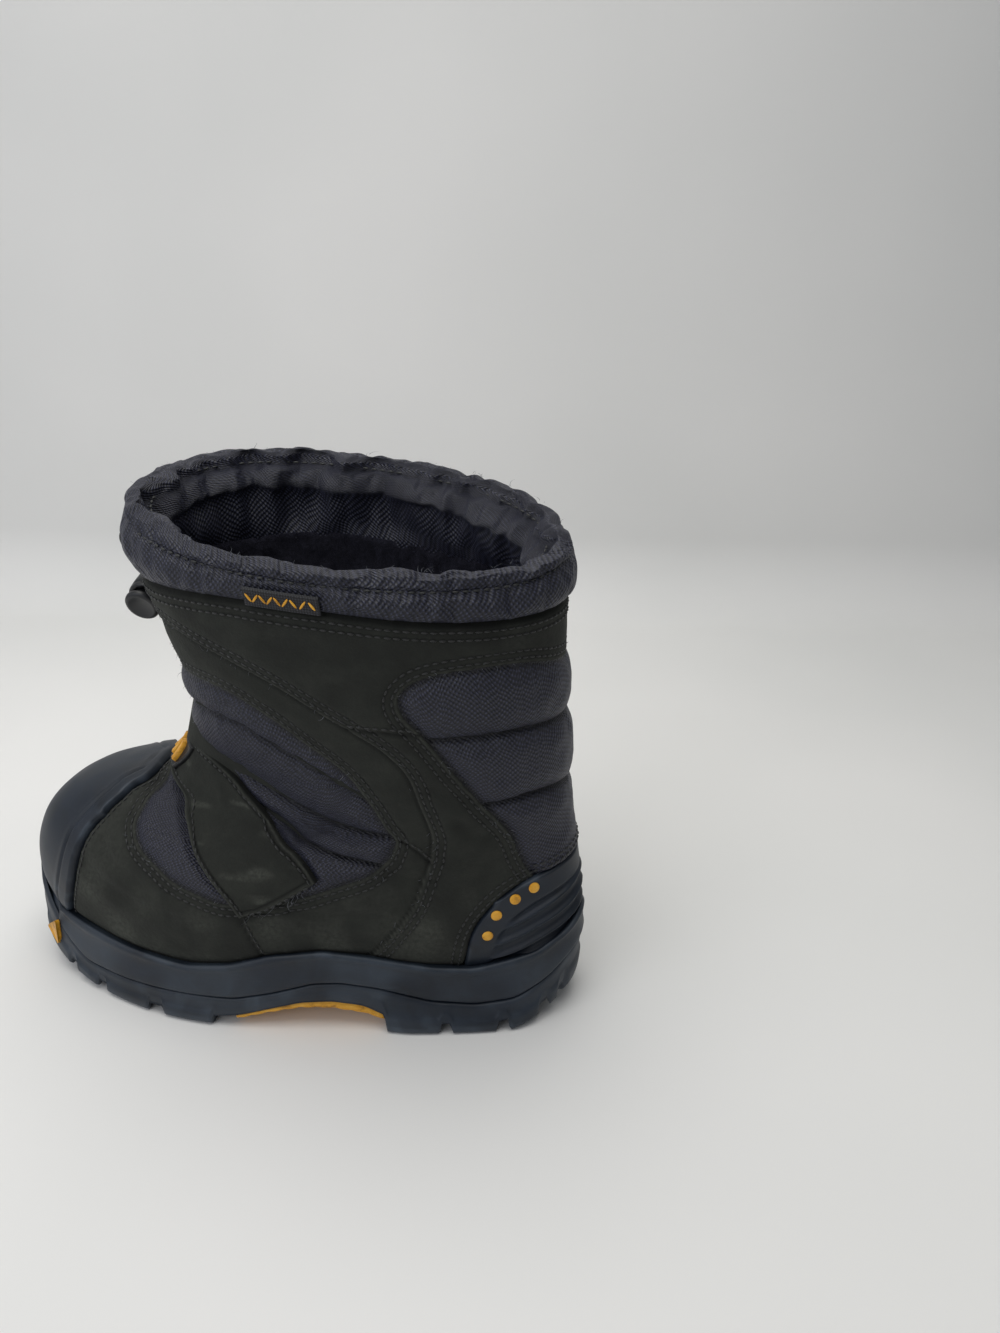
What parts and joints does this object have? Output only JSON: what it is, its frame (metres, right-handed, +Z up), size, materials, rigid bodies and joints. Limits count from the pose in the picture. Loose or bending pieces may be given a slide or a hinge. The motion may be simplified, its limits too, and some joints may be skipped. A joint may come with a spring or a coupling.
{
  "type": "insulated snow boot",
  "caption": "Child's insulated snow boot for the left foot, with a rubber shell sole, quilted shaft, gathered collar and instep strap",
  "frame": {"origin": "on the ground under the middle of the boot's box", "axes": "+X from toe to heel, +Z up, outer side of the foot towards -Y"},
  "size_m": [0.2356, 0.1, 0.2087],
  "materials": {
    "leather": "napped nubuck, near black with a green cast",
    "shell_cloth": "woven nylon, dark navy, quilted",
    "rubber": "moulded rubber, matt blue grey",
    "yellow_rubber": "moulded rubber, matt amber yellow",
    "footbed": "felt faced foam, matt black",
    "hard_plastic": "moulded, fine texture, black",
    "badge_plastic": "moulded, matt dark grey",
    "cord": "braided elastic cord, black"
  },
  "bodies": {
    "boot": {"upper": "leather", "collar": "shell_cloth", "midsole": "rubber", "outsole": "rubber", "arch_insert": "yellow_rubber", "insole": "footbed", "toe_cap": "rubber", "heel_counter": "rubber", "strap": "leather", "strap_anchor": "leather", "strap_ring": "hard_plastic", "strap_badge": "badge_plastic", "cord_tab": "leather", "lock_barrel": "hard_plastic", "toe_plug_outer": "yellow_rubber", "toe_plug_inner": "yellow_rubber", "cord_outer": "cord", "cord_inner": "cord", "cord_knot": "cord"},
    "button": {"lock_button": "hard_plastic"}
  },
  "joints": [
    {"name": "lock_press", "type": "slide", "parent": "boot", "child": "button", "axis": [0, 0.9207, 0.3903], "range_m": [0, 0.002], "stiffness_N_per_m": 150}
  ]
}
